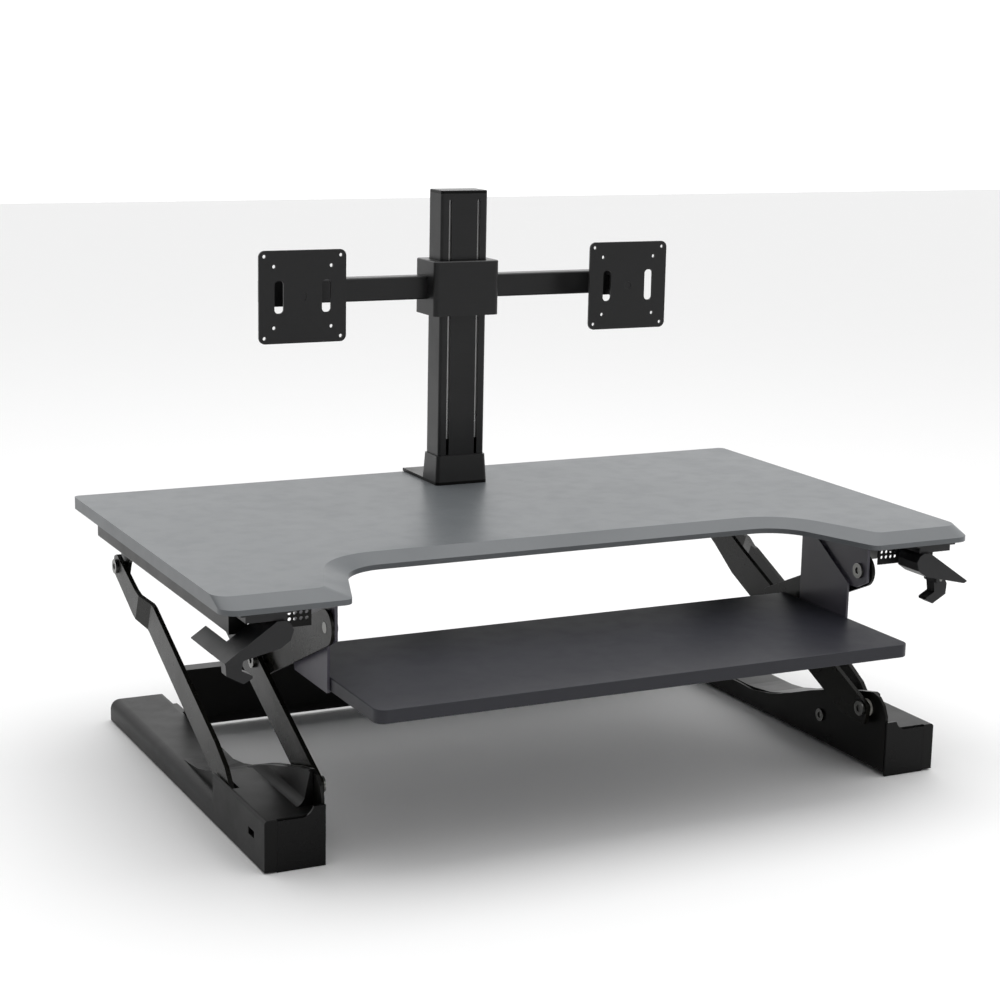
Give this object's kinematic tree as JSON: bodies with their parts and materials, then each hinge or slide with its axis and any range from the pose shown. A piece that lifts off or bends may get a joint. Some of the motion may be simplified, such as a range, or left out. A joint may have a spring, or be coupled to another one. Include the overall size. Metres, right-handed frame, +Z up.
{
  "type": "standing desk converter",
  "caption": "Sit-stand desk converter: cut-out worksurface on scissor arms over two feet, hung keyboard tray, lift handles and a column for monitors.",
  "frame": {"origin": "on the desk, under the middle of the whole object's box", "axes": "+X to the right seen by the user, +Y away from the user, +Z up"},
  "size_m": [0.953, 0.652, 0.68],
  "materials": {
    "board": "satin laminate",
    "tray": "satin laminate",
    "black_steel": "semi-gloss powder coat",
    "grey_steel": "satin powder coat",
    "foot_plastic": "fine texture",
    "cap_plastic": "semi-gloss",
    "handle_plastic": "satin",
    "zinc_steel": "zinc plated",
    "spring_steel": "oiled",
    "glide_plastic": "natural",
    "rubber": "matte",
    "black_alloy": "black anodised",
    "bright_alloy": "satin",
    "plate_alloy": "black anodised"
  },
  "bodies": {
    "base": {"cross_beam": "black_steel", "foot_frames": "black_steel", "foot_covers": "foot_plastic", "foot_caps": "cap_plastic", "arm_brackets": "black_steel", "rubber_feet": "rubber", "frame_bolts": "zinc_steel", "inner_arm_bolts": "zinc_steel", "outer_lower_bolts": "zinc_steel", "lift_springs": "spring_steel", "pivot_washers": "glide_plastic"},
    "inner_arm_pair": {"inner_arms": "black_steel", "arm_cross_tube": "black_steel", "mid_pivot_bolts": "zinc_steel"},
    "outer_arm_pair": {"outer_arms": "black_steel"},
    "front_link_pair": {"front_links": "black_steel"},
    "deck": {"worksurface": "board", "keyboard_tray": "tray", "rails": "black_steel", "front_brackets": "grey_steel", "tray_hangers": "grey_steel", "lever_struts": "black_steel", "handle_mounts": "handle_plastic", "paddles": "handle_plastic", "brake_rods": "zinc_steel", "front_pivot_bolts": "zinc_steel", "trigger_pins": "zinc_steel", "rail_screws": "zinc_steel", "bracket_screws": "zinc_steel", "tray_screws": "zinc_steel", "column": "black_alloy", "column_strips": "bright_alloy", "column_cap": "cap_plastic", "column_collar": "cap_plastic", "column_clamp": "black_steel", "clamp_screw": "zinc_steel"},
    "slider": {"slider_bar": "black_steel", "slider_lugs": "black_steel", "slider_ears": "black_steel", "slider_shoes": "glide_plastic", "rear_pivot_bolts": "zinc_steel", "outer_rear_bolts": "zinc_steel", "brake_housings": "black_steel", "brake_pins": "zinc_steel"},
    "left_trigger": {"left_trigger": "handle_plastic"},
    "right_trigger": {"right_trigger": "handle_plastic"},
    "left_brake_lever": {"left_brake_lever": "zinc_steel"},
    "right_brake_lever": {"right_brake_lever": "zinc_steel"},
    "carriage": {"carriage": "black_alloy", "crossbars": "black_alloy", "crossbar_caps": "cap_plastic", "knuckles": "black_alloy", "swivel_pins": "zinc_steel"},
    "left_swivel": {"left_swivel": "black_alloy"},
    "left_tilt_head": {"left_tilt_head": "black_alloy"},
    "left_plate": {"left_vesa_plate": "plate_alloy"},
    "right_swivel": {"right_swivel": "black_alloy"},
    "right_tilt_head": {"right_tilt_head": "black_alloy"},
    "right_plate": {"right_vesa_plate": "plate_alloy"}
  },
  "joints": [
    {"name": "arm_lift", "type": "hinge", "parent": "base", "child": "inner_arm_pair", "pos_m": [0, -0.213, 0.076], "axis": [1, 0, 0], "range_deg": [-20, 43]},
    {"name": "outer_arm_swing", "type": "hinge", "parent": "base", "child": "outer_arm_pair", "pos_m": [0, -0.125, 0.042], "axis": [1, 0, 0], "range_deg": [-20, 43]},
    {"name": "front_link_swing", "type": "hinge", "parent": "inner_arm_pair", "child": "front_link_pair", "pos_m": [0, -0.01659, 0.16345], "axis": [1, 0, 0], "range_deg": [-86, 40]},
    {"name": "deck_level", "type": "hinge", "parent": "front_link_pair", "child": "deck", "pos_m": [0, -0.213, 0.2509], "axis": [1, 0, 0], "range_deg": [-20, 43]},
    {"name": "slider_level", "type": "hinge", "parent": "inner_arm_pair", "child": "slider", "pos_m": [0, 0.17983, 0.2509], "axis": [1, 0, 0], "range_deg": [-43, 20]},
    {"name": "left_trigger_pull", "type": "hinge", "parent": "deck", "child": "left_trigger", "pos_m": [-0.452, -0.2165, 0.2325], "axis": [0, -1, 0], "range_deg": [0, 14], "stiffness_Nm_per_rad": 0.6, "springref_deg": -8.59},
    {"name": "left_brake_swing", "type": "hinge", "parent": "slider", "child": "left_brake_lever", "pos_m": [0, 0.21582, 0.241], "axis": [1, 0, 0], "range_deg": [-7, 0]},
    {"name": "right_trigger_pull", "type": "hinge", "parent": "deck", "child": "right_trigger", "pos_m": [0.452, -0.2165, 0.2325], "axis": [0, 1, 0], "range_deg": [0, 14], "stiffness_Nm_per_rad": 0.6, "springref_deg": -8.59},
    {"name": "right_brake_swing", "type": "hinge", "parent": "slider", "child": "right_brake_lever", "pos_m": [0, 0.21582, 0.241], "axis": [1, 0, 0], "range_deg": [-7, 0]},
    {"name": "carriage_height", "type": "slide", "parent": "deck", "child": "carriage", "axis": [0, 0, 1], "range_m": [-0.12, 0.08]},
    {"name": "left_swivel_turn", "type": "hinge", "parent": "carriage", "child": "left_swivel", "pos_m": [-0.222, 0.217, 0.556], "axis": [0, 0, 1], "range_deg": [-20, 20]},
    {"name": "left_tilt", "type": "hinge", "parent": "left_swivel", "child": "left_tilt_head", "pos_m": [-0.222, 0.199, 0.556], "axis": [1, 0, 0], "range_deg": [-12, 12]},
    {"name": "left_plate_rotate", "type": "hinge", "parent": "left_tilt_head", "child": "left_plate", "pos_m": [-0.222, 0.187, 0.556], "axis": [0, 1, 0], "range_deg": [-90, 90]},
    {"name": "right_swivel_turn", "type": "hinge", "parent": "carriage", "child": "right_swivel", "pos_m": [0.234, 0.217, 0.556], "axis": [0, 0, 1], "range_deg": [-20, 20]},
    {"name": "right_tilt", "type": "hinge", "parent": "right_swivel", "child": "right_tilt_head", "pos_m": [0.234, 0.199, 0.556], "axis": [1, 0, 0], "range_deg": [-12, 12]},
    {"name": "right_plate_rotate", "type": "hinge", "parent": "right_tilt_head", "child": "right_plate", "pos_m": [0.234, 0.187, 0.556], "axis": [0, 1, 0], "range_deg": [-90, 90]}
  ],
  "couplings": [
    {"joint": "outer_arm_swing", "follows": "arm_lift", "ratio": 1},
    {"joint": "front_link_swing", "follows": "arm_lift", "ratio": -2},
    {"joint": "deck_level", "follows": "arm_lift", "ratio": 1},
    {"joint": "slider_level", "follows": "arm_lift", "ratio": -1},
    {"joint": "left_brake_swing", "follows": "left_trigger_pull", "ratio": -0.5},
    {"joint": "right_brake_swing", "follows": "right_trigger_pull", "ratio": -0.5}
  ]
}
